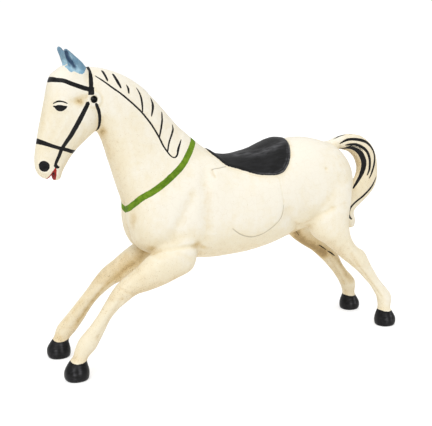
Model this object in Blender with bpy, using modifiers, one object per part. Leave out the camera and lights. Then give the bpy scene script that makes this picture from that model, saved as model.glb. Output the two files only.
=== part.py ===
"""A carved wooden carousel horse at the gallop, as one closed solid, in metres with +Z up.

The horse faces -X, its left side is towards -Y, and it stands on four hooves on the plane z = 0.
The carver's grid sets the figure out: every station of the body, neck, head, limbs, tail, ears
and saddle is given in squares of that grid, seen from the left side.
"""

import math

import bmesh
import bpy
import numpy as np
from mathutils import Matrix

# Overall length, from the muzzle to the back of the tail, and the squares that divide it.
HORSE_LENGTH = 1.30
SQUARES = 130
GRID = HORSE_LENGTH / SQUARES

# The bore behind the cheeks that takes the hand rail, and the raised ring round each mouth.
RAIL_BORE = 0.021
RING_WALL = 0.0115
RING_STAND = 0.0035

# How far the saddle and the painted flap stand up from the coat.
SADDLE_STAND = 0.011
FLAP_STAND = 0.0025

# Fineness of the joined form: grain of the joining, and the triangles left in the body.
GRAIN = 0.55 * GRID
BODY_TRIANGLES = 5900
FLOW_PASSES = 36
LEAST_FLOW = 0.16

# Where the forms flow fully into each other, in squares: between two heights, and ahead of the
# tail, whose root lies further forward above TAIL_CROOK than below it. Each gate has its fade.
FLOW_LOW, FLOW_LOW_FADE = 40, 4
FLOW_HIGH, FLOW_HIGH_FADE = 78, 6
TAIL_CROOK, TAIL_ROOT_HIGH, TAIL_ROOT_LOW, TAIL_FADE = 62, 44, 50, 3

# A station is (face x, face z, back x, back z, y, half width, taper, squareness), in squares.
# Face and back are the two points where the section meets the side view; a positive taper
# makes the section narrower at its face end, and squareness 2 is an ellipse.
TRUNK = (
    (-35.4, 53.6, -35.4, 44.5, 0, 5.4, 0.0, 2.2),
    (-34.3, 57.5, -34.5, 40.4, 0, 8.4, 0.0, 2.2),
    (-32.0, 62.0, -32.0, 37.0, 0, 10.8, 0.05, 2.2),
    (-27.0, 65.5, -27.0, 34.8, 0, 12.3, 0.10, 2.2),
    (-20.0, 68.0, -20.0, 33.2, 0, 13.2, 0.14, 2.2),
    (-12.0, 68.8, -12.0, 32.0, 0, 13.5, 0.14, 2.2),
    (-5.0, 66.8, -5.0, 31.6, 0, 13.6, 0.10, 2.2),
    (0.0, 65.3, 0.0, 31.8, 0, 13.8, 0.08, 2.2),
    (6.0, 65.2, 6.0, 32.3, 0, 14.0, 0.06, 2.2),
    (12.0, 66.2, 12.0, 33.2, 0, 13.9, 0.04, 2.2),
    (18.0, 68.4, 18.0, 34.7, 0, 13.6, 0.02, 2.2),
    (25.0, 71.0, 25.0, 36.8, 0, 13.2, 0.0, 2.2),
    (31.0, 71.2, 31.0, 38.6, 0, 13.2, 0.0, 2.2),
    (37.0, 70.0, 37.0, 39.6, 0, 12.9, 0.0, 2.2),
    (42.0, 68.3, 42.0, 40.8, 0, 11.8, 0.0, 2.2),
    (46.0, 65.2, 46.0, 43.0, 0, 9.8, 0.0, 2.2),
    (48.6, 61.6, 48.6, 46.4, 0, 7.2, 0.0, 2.1),
    (49.8, 58.2, 49.8, 49.8, 0, 4.4, 0.0, 2.0),
)
NECK = (
    (-4.0, 66.0, -34.6, 42.0, 0, 11.6, 0.22, 2.1),
    (-9.5, 70.3, -35.7, 49.2, 0, 10.4, 0.28, 2.1),
    (-13.2, 73.2, -37.3, 54.6, 0, 9.2, 0.30, 2.1),
    (-17.8, 77.0, -39.0, 59.5, 0, 8.1, 0.32, 2.1),
    (-22.6, 82.3, -40.4, 64.2, 0, 7.2, 0.32, 2.1),
    (-27.6, 87.4, -41.8, 69.0, 0, 6.5, 0.30, 2.1),
    (-32.0, 90.9, -43.3, 73.4, 0, 6.1, 0.28, 2.1),
    (-37.2, 93.5, -45.4, 77.0, 0, 5.8, 0.24, 2.1),
    (-42.2, 94.9, -48.2, 80.0, 0, 5.4, 0.20, 2.1),
    (-47.6, 95.6, -52.0, 84.0, 0, 4.6, 0.10, 2.1),
)
HEAD = (
    (-55.6, 95.2, -47.2, 93.2, 0, 4.4, 0.0, 2.3),
    (-58.4, 93.0, -44.8, 88.4, 0, 5.6, 0.0, 2.4),
    (-59.7, 89.2, -43.8, 83.4, 0, 6.3, 0.0, 2.5),
    (-60.4, 86.0, -43.6, 79.6, 0, 6.4, 0.0, 2.5),
    (-61.2, 82.8, -44.6, 76.6, 0, 6.2, 0.02, 2.5),
    (-62.0, 79.7, -47.2, 74.2, 0, 5.6, 0.04, 2.5),
    (-62.8, 76.4, -49.8, 71.8, 0, 4.9, 0.06, 2.5),
    (-63.5, 73.3, -52.1, 69.4, 0, 4.2, 0.04, 2.4),
    (-64.1, 70.4, -53.9, 67.0, 0, 3.8, 0.0, 2.4),
    (-64.5, 67.6, -55.3, 64.7, 0, 3.7, 0.0, 2.4),
    (-64.4, 65.2, -56.2, 62.6, 0, 3.6, 0.0, 2.4),
    (-63.7, 63.0, -56.4, 60.9, 0, 3.2, 0.0, 2.5),
)
LEFT_FORE = (
    (-21.0, 44.0, -14.5, 38.5, -8.4, 4.7, 0.0, 2.1),
    (-26.0, 40.2, -16.4, 30.7, -8.9, 4.9, 0.0, 2.2),
    (-30.3, 37.0, -22.2, 28.0, -9.2, 4.6, 0.0, 2.2),
    (-33.2, 34.8, -27.7, 26.1, -9.5, 4.1, 0.0, 2.1),
    (-36.8, 32.0, -33.0, 25.0, -9.8, 3.5, 0.0, 2.1),
    (-40.5, 29.9, -36.4, 24.6, -10.1, 3.2, 0.0, 2.2),
    (-43.4, 27.5, -39.6, 22.7, -10.3, 2.9, 0.0, 2.1),
    (-46.0, 24.0, -42.6, 20.6, -10.4, 2.4, 0.0, 2.0),
    (-48.4, 20.6, -45.0, 18.0, -10.5, 2.0, 0.0, 2.0),
    (-51.0, 17.3, -47.0, 14.6, -10.6, 1.9, 0.0, 2.0),
    (-53.3, 14.9, -48.8, 11.6, -10.7, 2.1, 0.0, 2.1),
    (-55.3, 12.8, -50.2, 9.0, -10.7, 2.4, 0.0, 2.1),
    (-56.6, 10.3, -51.9, 7.6, -10.7, 2.2, 0.0, 2.1),
    (-57.4, 8.0, -53.0, 6.4, -10.7, 2.2, 0.0, 2.1),
    (-58.1, 5.0, -53.8, 4.0, -10.7, 2.4, 0.0, 2.1),
)
RIGHT_FORE = (
    (-21.0, 44.0, -14.5, 38.5, 8.4, 4.7, 0.0, 2.1),
    (-26.0, 39.6, -17.2, 30.2, 8.9, 4.9, 0.0, 2.2),
    (-30.1, 36.1, -23.5, 27.3, 9.2, 4.5, 0.0, 2.2),
    (-33.0, 34.2, -28.5, 25.5, 9.5, 4.1, 0.0, 2.1),
    (-37.2, 31.0, -33.0, 24.0, 9.8, 3.5, 0.0, 2.1),
    (-41.1, 28.2, -36.6, 23.1, 10.1, 3.2, 0.0, 2.2),
    (-43.9, 25.1, -39.8, 21.0, 10.3, 2.9, 0.0, 2.1),
    (-46.5, 21.9, -42.6, 18.6, 10.4, 2.4, 0.0, 2.0),
    (-49.6, 18.5, -45.4, 15.2, 10.5, 2.0, 0.0, 2.0),
    (-52.7, 15.0, -47.8, 11.6, 10.6, 2.0, 0.0, 2.0),
    (-55.2, 12.3, -49.6, 9.4, 10.7, 2.2, 0.0, 2.1),
    (-57.0, 10.2, -51.2, 7.5, 10.7, 2.4, 0.0, 2.1),
    (-57.9, 8.0, -52.8, 6.2, 10.7, 2.3, 0.0, 2.1),
    (-58.4, 5.0, -53.6, 4.0, 10.7, 2.4, 0.0, 2.1),
)
LEFT_HIND = (
    (46.4, 57.0, 32.0, 52.0, -7.0, 6.0, 0.0, 2.1),
    (46.8, 49.0, 29.0, 43.0, -7.6, 6.2, 0.0, 2.1),
    (45.2, 42.6, 31.6, 36.2, -8.3, 5.6, 0.0, 2.1),
    (45.4, 37.2, 36.1, 33.1, -9.0, 4.7, 0.0, 2.1),
    (46.6, 34.0, 39.8, 30.2, -9.5, 3.7, 0.0, 2.1),
    (48.6, 31.3, 43.2, 27.0, -9.9, 3.2, 0.0, 2.1),
    (51.6, 29.6, 46.5, 24.5, -10.2, 2.9, 0.0, 2.2),
    (53.6, 26.2, 49.8, 21.7, -10.4, 2.6, 0.0, 2.1),
    (56.2, 22.0, 52.6, 18.6, -10.6, 2.1, 0.0, 2.0),
    (59.0, 18.0, 55.6, 15.2, -10.8, 1.9, 0.0, 2.0),
    (62.3, 14.4, 57.8, 11.8, -11.0, 2.1, 0.0, 2.0),
    (64.6, 11.0, 58.9, 9.6, -11.1, 2.4, 0.0, 2.1),
    (64.3, 8.6, 59.2, 8.0, -11.1, 2.3, 0.0, 2.1),
    (64.2, 6.4, 59.4, 6.2, -11.1, 2.3, 0.0, 2.1),
    (64.4, 4.2, 59.6, 4.0, -11.1, 2.4, 0.0, 2.1),
)
RIGHT_HIND = (
    (46.4, 57.0, 32.0, 52.0, 7.0, 6.0, 0.0, 2.1),
    (46.8, 48.6, 29.0, 41.8, 7.6, 6.2, 0.0, 2.1),
    (45.6, 41.8, 31.4, 34.0, 8.3, 5.6, 0.0, 2.1),
    (46.2, 36.4, 35.6, 30.6, 9.0, 4.7, 0.0, 2.1),
    (47.6, 33.2, 39.4, 28.2, 9.5, 3.8, 0.0, 2.1),
    (49.8, 30.4, 43.0, 26.0, 9.9, 3.3, 0.0, 2.1),
    (52.4, 28.2, 46.2, 23.4, 10.2, 2.9, 0.0, 2.2),
    (54.4, 24.6, 49.2, 20.7, 10.4, 2.6, 0.0, 2.1),
    (56.8, 20.6, 52.0, 17.7, 10.6, 2.2, 0.0, 2.0),
    (59.6, 16.8, 54.8, 14.4, 10.8, 2.0, 0.0, 2.0),
    (62.6, 13.8, 57.0, 11.4, 11.0, 2.2, 0.0, 2.0),
    (64.6, 10.6, 58.2, 9.2, 11.1, 2.4, 0.0, 2.1),
    (64.2, 8.2, 58.8, 7.6, 11.1, 2.3, 0.0, 2.1),
    (64.0, 6.2, 59.1, 6.0, 11.1, 2.3, 0.0, 2.1),
    (64.2, 4.2, 59.4, 4.0, 11.1, 2.4, 0.0, 2.1),
)
TAIL = (
    (41.0, 69.0, 43.6, 65.8, 0, 2.0, 0.0, 2.0),
    (44.6, 70.3, 46.4, 66.2, 0, 2.3, 0.0, 2.0),
    (49.2, 71.4, 48.8, 65.4, 0, 2.6, 0.0, 2.0),
    (53.4, 71.6, 51.2, 64.8, 0, 2.8, 0.0, 2.0),
    (57.4, 70.2, 53.2, 63.2, 0, 2.9, 0.0, 2.0),
    (60.8, 67.6, 54.5, 61.6, 0, 3.0, 0.0, 2.0),
    (63.2, 64.0, 55.2, 59.8, 0, 3.0, 0.0, 2.0),
    (64.2, 60.2, 55.4, 58.0, 0, 2.9, 0.0, 2.0),
    (64.6, 56.4, 54.8, 56.0, 0, 2.8, 0.0, 2.0),
    (64.2, 52.4, 53.2, 53.6, 0, 2.6, 0.0, 2.0),
    (62.2, 49.2, 51.4, 50.6, 0, 2.4, 0.0, 2.0),
    (59.2, 46.4, 50.4, 47.4, 0, 2.1, 0.0, 2.0),
    (56.0, 44.0, 50.2, 44.2, 0, 1.8, 0.0, 2.0),
    (54.2, 42.2, 50.4, 41.4, 0, 1.6, 0.0, 2.0),
    (55.3, 39.3, 51.0, 38.6, 0, 1.6, 0.0, 2.0),
    (55.1, 36.8, 51.8, 36.6, 0, 1.3, 0.0, 2.0),
)

# Sections of a hoof: (height, half length, half width, lean), in squares; a hoof leans towards
# the leg it carries, backwards in front and forwards behind.
HOOF = (
    (0.0, 3.45, 3.30, 0.15),
    (0.9, 3.85, 3.75, 0.05),
    (2.0, 4.00, 3.90, 0.05),
    (3.4, 3.75, 3.65, 0.15),
    (4.7, 3.20, 3.10, 0.35),
    (5.8, 2.65, 2.65, 0.55),
    (6.5, 2.30, 2.40, 0.65),
)
HOOVES = ((-56.6, -10.7, 1), (-56.7, 10.7, 1), (62.4, -11.1, -1), (62.2, 11.1, -1))

# The saddle in cross stations: (x, middle height, half width, edge height), in squares.
SADDLE = (
    (-7.6, 69.1, 0.6, 68.5),
    (-6.5, 68.4, 2.5, 67.3),
    (-5.2, 67.6, 4.5, 65.9),
    (-3.8, 66.9, 6.5, 64.3),
    (-2.6, 66.6, 7.5, 63.4),
    (0.4, 66.3, 8.5, 62.4),
    (4.0, 66.7, 9.7, 61.2),
    (7.5, 67.5, 10.8, 60.2),
    (11.0, 68.6, 11.7, 59.9),
    (14.0, 69.9, 12.1, 59.9),
    (16.5, 70.9, 12.0, 60.8),
    (18.6, 71.5, 11.2, 62.8),
    (20.2, 71.6, 9.8, 65.2),
    (21.6, 71.4, 7.2, 68.0),
    (22.6, 71.1, 4.0, 69.8),
    (23.2, 70.8, 1.0, 70.4),
)
SADDLE_ARCH = 2.2
SADDLE_ROOT = 4.5
SADDLE_FULL_HALF = 6
RIM_TUCK = 0.25
RIM_DROP = 0.75
ROOT_TUCK = 0.6
LEAST_ROOT = 0.4

EAR = (
    (-52.6, 90.6, -48.2, 90.2, 3.1, 1.4, 0.0, 2.0),
    (-53.8, 95.0, -47.6, 93.9, 3.4, 1.6, 0.0, 2.0),
    (-54.8, 97.2, -49.3, 96.2, 3.6, 1.6, 0.0, 2.0),
    (-55.3, 99.0, -51.2, 98.0, 3.7, 1.4, 0.0, 2.0),
    (-55.4, 100.1, -52.5, 99.4, 3.8, 1.0, 0.0, 2.0),
    (-55.0, 100.7, -53.6, 100.3, 3.8, 0.6, 0.0, 2.0),
)
EAR_HOLLOW = (-54.0, 5.0, 98.0)
EAR_HOLLOW_HALF = (1.0, 1.1, 2.6)
EAR_LEAN = math.radians(26)
EAR_TIP = 0.25
EARS = (("left_ear", -1, 0.0), ("right_ear", 1, 0.7))

RAIL = (-46.8, 85.6)
RAIL_CHEEK = 5.45
NOSTRIL = (-62.3, 3.35, 65.9)
NOSTRIL_BALL = 3.0
NOSTRIL_DEPTH = 0.45
MOUTH = ((-58.8, 65.2), (-61.1, 61.0), (-58.9, 60.6))

# The carved edge of the painted flap, with the front and top line from which it fades in over a
# number of squares, and the hollows between muscles, all seen from the side.
# A hollow is (path, depth, spread, least distance from the middle plane), in squares.
FLAP = [
    (14.0, 60.5), (14.6, 56.2), (15.2, 51.8), (15.5, 48.4), (14.9, 45.6), (12.9, 43.3), (10.2, 41.4),
    (7.2, 40.1), (4.2, 39.6), (1.4, 40.2), (-1.2, 41.5), (-3.7, 43.3), (-6.0, 47.0), (-6.0, 60.5),
]
FLAP_EDGE = 0.5
FLAP_FRONT = (-4, 8)
FLAP_TOP = (60, 4)
FLAP_ASIDE = 8
HOLLOWS = (
    (((-17.1, 56.2), (-20.7, 51.1), (-25.0, 42.9)), 0.35, 1.3, 6.0),
    (((-12.4, 61.5), (-14.0, 52.5), (-13.0, 41.1)), 0.35, 1.8, 6.0),
    (((-30.2, 37.2), (-23.5, 38.7), (-15.4, 38.7)), 0.55, 1.1, 6.0),
    (((17.8, 46.9), (20.5, 43.8), (24.6, 40.1)), 0.60, 2.8, 5.0),
    (((25.2, 40.8), (28.7, 42.3), (31.2, 44.4), (35.5, 46.9)), 0.40, 1.3, 6.0),
    (((-52.6, 85.4), (-51.0, 85.8)), 0.35, 1.4, 4.0),
    (((-56.8, 80.5), (-60.0, 72.0)), 0.20, 1.4, 2.5),
)
SWELLS = (
    (((-56.4, 83.7), (-58.2, 83.6)), 0.22, 1.1, 4.0),
    (((-59.0, 85.6), (-56.0, 86.1)), 0.20, 0.8, 4.0),
    (((-50.5, 79.5), (-49.0, 81.5)), 0.25, 3.0, 3.0),
)
BREAST_LINE = ((-38.0, 51.0), (-33.0, 40.0))
BUTTOCK_LINE = ((50.0, 57.0), (44.0, 41.0))
MIDDLE_DEPTH = 0.5
MIDDLE_SPREAD = 1.6
MIDDLE_LENGTH = 4


def through(rows, per_gap):
    """Smooth rows through the stations: a Hermite spline over the distance between them."""
    rows = np.array(rows, float)
    step = np.linalg.norm(np.diff((rows[:, 0:2] + rows[:, 2:4]) / 2, axis=0), axis=1)
    at = np.concatenate(([0.0], np.cumsum(np.maximum(step, 0.05))))
    slope = np.gradient(rows, at, axis=0)
    out = []
    for i in range(len(rows) - 1):
        gap = at[i + 1] - at[i]
        for k in range(per_gap):
            t = k / per_gap
            h00 = 2 * t**3 - 3 * t**2 + 1
            h10 = t**3 - 2 * t**2 + t
            h01 = -2 * t**3 + 3 * t**2
            h11 = t**3 - t**2
            out.append(h00 * rows[i] + h10 * gap * slope[i] + h01 * rows[i + 1] + h11 * gap * slope[i + 1])
    out.append(rows[-1])
    return np.array(out)


def section(row, around):
    """One closed ring in squares: a rounded section between its face and back points."""
    fx, fz, bx, bz, y, half, taper, square = row
    middle = np.array([(fx + bx) / 2, y, (fz + bz) / 2])
    depth = np.array([(fx - bx) / 2, 0.0, (fz - bz) / 2])
    ring = []
    for k in range(around):
        t = 2 * math.pi * k / around
        c, s = math.cos(t), math.sin(t)
        across = half * math.copysign(abs(c) ** (2 / square), c) * (1 - taper * s)
        along = math.copysign(abs(s) ** (2 / square), s)
        ring.append(middle + depth * along + np.array([0.0, across, 0.0]))
    return np.array(ring)


def dome(row, outward, length, around, rings=4):
    """Rings that close an end with a dome of the given length."""
    whole = section(row, around)
    middle = whole.mean(axis=0)
    out = []
    for k in range(1, rings + 1):
        a = 0.5 * math.pi * k / (rings + 0.35)
        out.append(middle + (whole - middle) * math.cos(a) + outward * length * math.sin(a))
    return out


def form(name, stations, around=36, per_gap=4, start=0.0, end=0.0):
    """A closed form through its stations, with a flat or a domed end at each side."""
    rows = through(stations, per_gap)
    rings = [section(row, around) for row in rows]
    middles = [ring.mean(axis=0) for ring in rings]
    if start:
        out = middles[0] - middles[1]
        out /= np.linalg.norm(out)
        rings = dome(rows[0], out, start, around)[::-1] + rings
    if end:
        out = middles[-1] - middles[-2]
        out /= np.linalg.norm(out)
        rings = rings + dome(rows[-1], out, end, around)
    return loft(name, rings)


def loft(name, rings):
    """A closed mesh over a list of rings given in squares."""
    around = len(rings[0])
    points = [tuple(p * GRID) for ring in rings for p in ring]
    faces = []
    for i in range(len(rings) - 1):
        for k in range(around):
            j = (k + 1) % around
            a, b = i * around, (i + 1) * around
            faces.append((a + k, a + j, b + j, b + k))
    faces.append(tuple(range(around)))
    last = (len(rings) - 1) * around
    faces.append(tuple(last + k for k in reversed(range(around))))
    mesh = bpy.data.meshes.new(name)
    mesh.from_pydata(points, [], faces)
    obj = bpy.data.objects.new(name, mesh)
    FORMS.objects.link(obj)
    outward(mesh)
    return obj


def outward(mesh):
    """Turns every face of a closed mesh outwards."""
    work = bmesh.new()
    work.from_mesh(mesh)
    bmesh.ops.recalc_face_normals(work, faces=work.faces)
    if work.calc_volume(signed=True) < 0:
        bmesh.ops.reverse_faces(work, faces=work.faces)
    work.to_mesh(mesh)
    work.free()


def new_collection(name, hidden):
    found = bpy.data.collections.new(name)
    found.hide_render = hidden
    bpy.context.scene.collection.children.link(found)
    return found


def modified(obj, kind, **settings):
    """Puts one modifier on an object and makes its result the object's own mesh."""
    modifier = obj.modifiers.new(kind.title(), kind)
    for key, value in settings.items():
        setattr(modifier, key, value)
    graph = bpy.context.evaluated_depsgraph_get()
    old = obj.data
    new = bpy.data.meshes.new_from_object(obj.evaluated_get(graph))
    obj.modifiers.clear()
    obj.data = new
    bpy.data.meshes.remove(old)


def joined(name, forms):
    """One mesh that holds every form, still as separate bodies that run into each other."""
    work = bmesh.new()
    for item in forms:
        work.from_mesh(item.data)
    mesh = bpy.data.meshes.new(name)
    work.to_mesh(mesh)
    work.free()
    for item in forms:
        bpy.data.objects.remove(item)
    obj = bpy.data.objects.new(name, mesh)
    HORSE.objects.link(obj)
    return obj


def distance_to(points, path):
    """Distance in squares from points seen from the side to a path of (x, z) stations."""
    best = np.full(len(points), 1e9)
    for (ax, az), (bx, bz) in zip(path[:-1], path[1:]):
        run = np.array([bx - ax, bz - az])
        rel = points - np.array([ax, az])
        t = np.clip(rel @ run / (run @ run), 0, 1)
        best = np.minimum(best, np.linalg.norm(rel - t[:, None] * run, axis=1))
    return best


def inside(points, outline):
    """Which side-view points lie inside a closed outline."""
    x, z = points[:, 0], points[:, 1]
    found = np.zeros(len(points), bool)
    for (ax, az), (bx, bz) in zip(outline, outline[1:] + outline[:1]):
        if az == bz:
            continue
        crosses = (az > z) != (bz > z)
        found ^= crosses & (x < (bx - ax) * (z - az) / (bz - az) + ax)
    return found


def gate(value, fade):
    """Rises from 0 to 1 as a value goes from 0 to its fade."""
    return np.clip(value / fade, 0, 1)


def eased(body):
    """Lets the forms flow into each other, most over the shoulders, flanks and quarters."""
    group = body.vertex_groups.new(name="flow")
    for v in body.data.vertices:
        x, z = v.co.x / GRID, v.co.z / GRID
        root = TAIL_ROOT_HIGH if z > TAIL_CROOK else TAIL_ROOT_LOW
        above = gate(z - FLOW_LOW, FLOW_LOW_FADE)
        below = gate(FLOW_HIGH - z, FLOW_HIGH_FADE)
        ahead = gate(root - x, TAIL_FADE)
        group.add([v.index], LEAST_FLOW + (1 - LEAST_FLOW) * above * below * ahead, "REPLACE")
    modified(body, "SMOOTH", factor=0.5, iterations=FLOW_PASSES, vertex_group="flow")
    body.vertex_groups.clear()


def carved(body):
    """Presses the hollows, raises the swells and the flap, on both sides alike."""
    count = len(body.data.vertices)
    at = np.empty(count * 3)
    facing = np.empty(count * 3)
    body.data.vertices.foreach_get("co", at)
    body.data.vertex_normals.foreach_get("vector", facing)
    at = at.reshape(-1, 3) / GRID
    facing = facing.reshape(-1, 3)
    seen = at[:, [0, 2]]
    aside = np.abs(at[:, 1])
    raised = np.zeros(count)
    for sign, group in ((-1, HOLLOWS), (1, SWELLS)):
        for path, depth, spread, least in group:
            beside = gate(aside - least, 1)
            raised += sign * depth * beside * np.exp(-(distance_to(seen, path) / spread) ** 2)
    for path in (BREAST_LINE, BUTTOCK_LINE):
        near = np.exp(-(distance_to(seen, path) / MIDDLE_LENGTH) ** 2 - (aside / MIDDLE_SPREAD) ** 2)
        raised -= MIDDLE_DEPTH * near
    edge = distance_to(seen, FLAP + FLAP[:1])
    rise = np.where(inside(seen, FLAP), gate(edge, FLAP_EDGE), 0)
    front, front_fade = FLAP_FRONT
    top, top_fade = FLAP_TOP
    fade = gate(at[:, 0] - front, front_fade) * gate(top - at[:, 2], top_fade)
    raised += FLAP_STAND / GRID * rise * fade * (aside > FLAP_ASIDE)
    at += facing * raised[:, None]
    body.data.vertices.foreach_set("co", (at * GRID).ravel())


def saddle():
    """The saddle as one body: an arched top with a rounded rim, rooted deep in the back."""
    rings = []
    for x, top, half, edge in SADDLE:
        drop = top - edge
        full = min(1.0, half / SADDLE_FULL_HALF)
        stand = SADDLE_STAND / GRID * full
        rim = (half - RIM_TUCK * stand, edge - RIM_DROP * stand)
        ring = []
        for k in range(15):
            u = math.sin(math.pi * (k / 14 - 0.5))
            ring.append((x, u * half, top - drop * abs(u) ** SADDLE_ARCH))
        ring.append((x, rim[0], rim[1]))
        for k in range(7):
            u = 1 - k / 3
            inner = max(half - stand - ROOT_TUCK, LEAST_ROOT * half)
            ring.append((x, u * inner, top - drop * abs(u) ** SADDLE_ARCH - SADDLE_ROOT * full))
        ring.append((x, -rim[0], rim[1]))
        rings.append(np.array(ring))
    return loft("saddle", rings)


def ball(name, centre, half, lean=0.0):
    """An ellipsoid in squares, leaning about the Y axis."""
    bpy.ops.mesh.primitive_uv_sphere_add(segments=20, ring_count=12, radius=1.0)
    obj = bpy.context.object
    obj.name = name
    obj.scale = [h * GRID for h in half]
    obj.rotation_euler = (0.0, lean, 0.0)
    obj.location = [c * GRID for c in centre]
    bpy.context.view_layer.update()
    obj.data.transform(obj.matrix_world)
    obj.matrix_world.identity()
    return obj


def cross_cylinder(name, at, radius, half, edge=0.0, sides=32):
    """A cylinder across the horse, in metres, with a small chamfer where edge is given."""
    x, z = at[0] * GRID, at[1] * GRID
    spans = [(-half, radius - edge), (-half + edge, radius), (half - edge, radius), (half, radius - edge)]
    if not edge:
        spans = [(-half, radius), (half, radius)]
    rings = []
    for y, r in spans:
        turn = [2 * math.pi * k / sides for k in range(sides)]
        rings.append(np.array([(x + r * math.cos(a), y, z + r * math.sin(a)) for a in turn]) / GRID)
    return loft(name, rings)


def wedge(name, corners, half):
    """A three-cornered prism across the horse, its corners given in the side view."""
    rings = [np.array([(x, y, z) for x, z in corners]) for y in (-half, half)]
    return loft(name, rings)


def ear(name, side, taller):
    """One ear with its hollow, on the given side, its tip so many squares above the stations'."""
    root, tip = EAR[0][1], EAR[-1][1]
    rows = []
    for fx, fz, bx, bz, y, half, taper, square in EAR:
        lift = taller * (fz - root) / (tip - root)
        rows.append((fx, fz + lift, bx, bz + lift, side * y, half, taper, square))
    blade = form(name, rows, 18, 1, end=EAR_TIP)
    x, y, z = EAR_HOLLOW
    cut(blade, ball(name + "_hollow", (x, side * y, z), EAR_HOLLOW_HALF, -EAR_LEAN))
    return blade


def body_form():
    forms = [
        form("trunk", TRUNK, 40, 3, start=0.9, end=0.9),
        form("neck", NECK, 36, 3),
        form("head", HEAD, 36, 3, start=1.2, end=0.9),
        form("left_fore", LEFT_FORE, 24, 3),
        form("right_fore", RIGHT_FORE, 24, 3),
        form("left_hind", LEFT_HIND, 24, 3),
        form("right_hind", RIGHT_HIND, 24, 3),
        form("tail", TAIL, 20, 3, end=1.0),
    ]
    body = joined("horse", forms)
    modified(body, "REMESH", mode="VOXEL", voxel_size=GRAIN, adaptivity=0.0)
    eased(body)
    carved(body)
    now = sum(len(p.vertices) - 2 for p in body.data.polygons)
    modified(body, "DECIMATE", ratio=BODY_TRIANGLES / now)
    return body


def hoof(name, at):
    x, y, way = at
    rows = [(x + way * s - a, z, x + way * s + a, z, y, b, 0.0, 2.15) for z, a, b, s in HOOF]
    return form(name, rows, 26, 1)


def union(body, tool):
    modified(body, "BOOLEAN", operation="UNION", object=tool, solver="EXACT")
    bpy.data.objects.remove(tool)


def cut(body, tool):
    modified(body, "BOOLEAN", operation="DIFFERENCE", object=tool, solver="EXACT")
    bpy.data.objects.remove(tool)


def hand_rail_bore(body):
    ring = RAIL_BORE / 2 + RING_WALL
    union(body, cross_cylinder("ring", RAIL, ring, RAIL_CHEEK * GRID + RING_STAND, RING_STAND))
    cut(body, cross_cylinder("bore", RAIL, RAIL_BORE / 2, 2 * RAIL_CHEEK * GRID))


def muzzle(body):
    cut(body, wedge("mouth", MOUTH, 6))
    x, y, z = NOSTRIL
    away = y - NOSTRIL_DEPTH + NOSTRIL_BALL
    for side in (-1, 1):
        cut(body, ball("nostril", (x, side * away, z), (NOSTRIL_BALL,) * 3))


def coat(obj):
    """Old cream enamel over carved wood."""
    paint = bpy.data.materials.new("cream_enamel")
    paint.use_nodes = True
    shader = paint.node_tree.nodes["Principled BSDF"]
    shader.inputs["Base Color"].default_value = (0.90, 0.86, 0.76, 1.0)
    shader.inputs["Roughness"].default_value = 0.38
    shader.inputs["Metallic"].default_value = 0.0
    obj.data.materials.clear()
    obj.data.materials.append(paint)


def centred(obj):
    """Moves the mesh so that the origin lies on the floor under the middle of its length."""
    xs = [v.co.x for v in obj.data.vertices]
    obj.data.transform(Matrix.Translation((-(min(xs) + max(xs)) / 2, 0.0, 0.0)))


for old in list(bpy.data.objects):
    bpy.data.objects.remove(old)
HORSE = new_collection("carousel_horse", False)
FORMS = new_collection("forms", True)

horse = body_form()
for number, place in enumerate(HOOVES):
    union(horse, hoof("hoof_%d" % number, place))
union(horse, saddle())
for name, side, taller in EARS:
    union(horse, ear(name, side, taller))
hand_rail_bore(horse)
muzzle(horse)
coat(horse)
centred(horse)
bpy.data.collections.remove(FORMS)
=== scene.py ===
"""A carved and painted wooden carousel horse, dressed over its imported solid."""

import math

import bpy
import numpy as np
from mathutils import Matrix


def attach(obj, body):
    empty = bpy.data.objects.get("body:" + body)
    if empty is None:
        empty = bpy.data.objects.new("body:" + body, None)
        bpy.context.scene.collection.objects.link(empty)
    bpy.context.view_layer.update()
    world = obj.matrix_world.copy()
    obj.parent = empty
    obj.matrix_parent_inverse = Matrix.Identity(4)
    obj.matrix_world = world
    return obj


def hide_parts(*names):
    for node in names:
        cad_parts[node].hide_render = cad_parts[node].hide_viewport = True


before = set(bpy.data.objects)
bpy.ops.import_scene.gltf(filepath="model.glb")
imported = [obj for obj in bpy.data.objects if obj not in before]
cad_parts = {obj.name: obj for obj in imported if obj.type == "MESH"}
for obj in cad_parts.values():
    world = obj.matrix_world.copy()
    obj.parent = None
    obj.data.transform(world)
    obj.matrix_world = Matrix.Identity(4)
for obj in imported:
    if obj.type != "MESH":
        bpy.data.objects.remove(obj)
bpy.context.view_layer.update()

# ---------------------------------------------------------------------------------------------
# The view. The camera stands before the horse's left shoulder, a little above its back, and
# looks slightly down at it, as the photograph was taken.
# ---------------------------------------------------------------------------------------------
CAMERA_AT = (-1.1538, -2.2666, 0.9360)
VIEW_TURN = math.radians(26.129)
VIEW_DIP = math.radians(10.624)
FILM_MM, LENS_MM = 36, 62.5

bpy.ops.object.camera_add(location=CAMERA_AT, rotation=(math.pi / 2 - VIEW_DIP, 0, -VIEW_TURN))
camera = bpy.context.object
camera.name = "camera"
camera.data.sensor_width = FILM_MM
camera.data.lens = LENS_MM
bpy.context.scene.camera = camera

# ---------------------------------------------------------------------------------------------
# The carved body: the trunk, neck, head, legs and tail of softwood, glued up, carved in the
# round with gouges and sanded before it was painted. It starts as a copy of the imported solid,
# and all forms below are worked into it in squares of 10 mm of the carver's grid.
# ---------------------------------------------------------------------------------------------
SQUARE = 0.01
GRID_MIDDLE = 0.97
SEAM_GAP = 0.00002
CLAY_MM = 3.0
ROUNDING_PASSES = 26
KEEP_BULK_PASSES = 70

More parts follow.
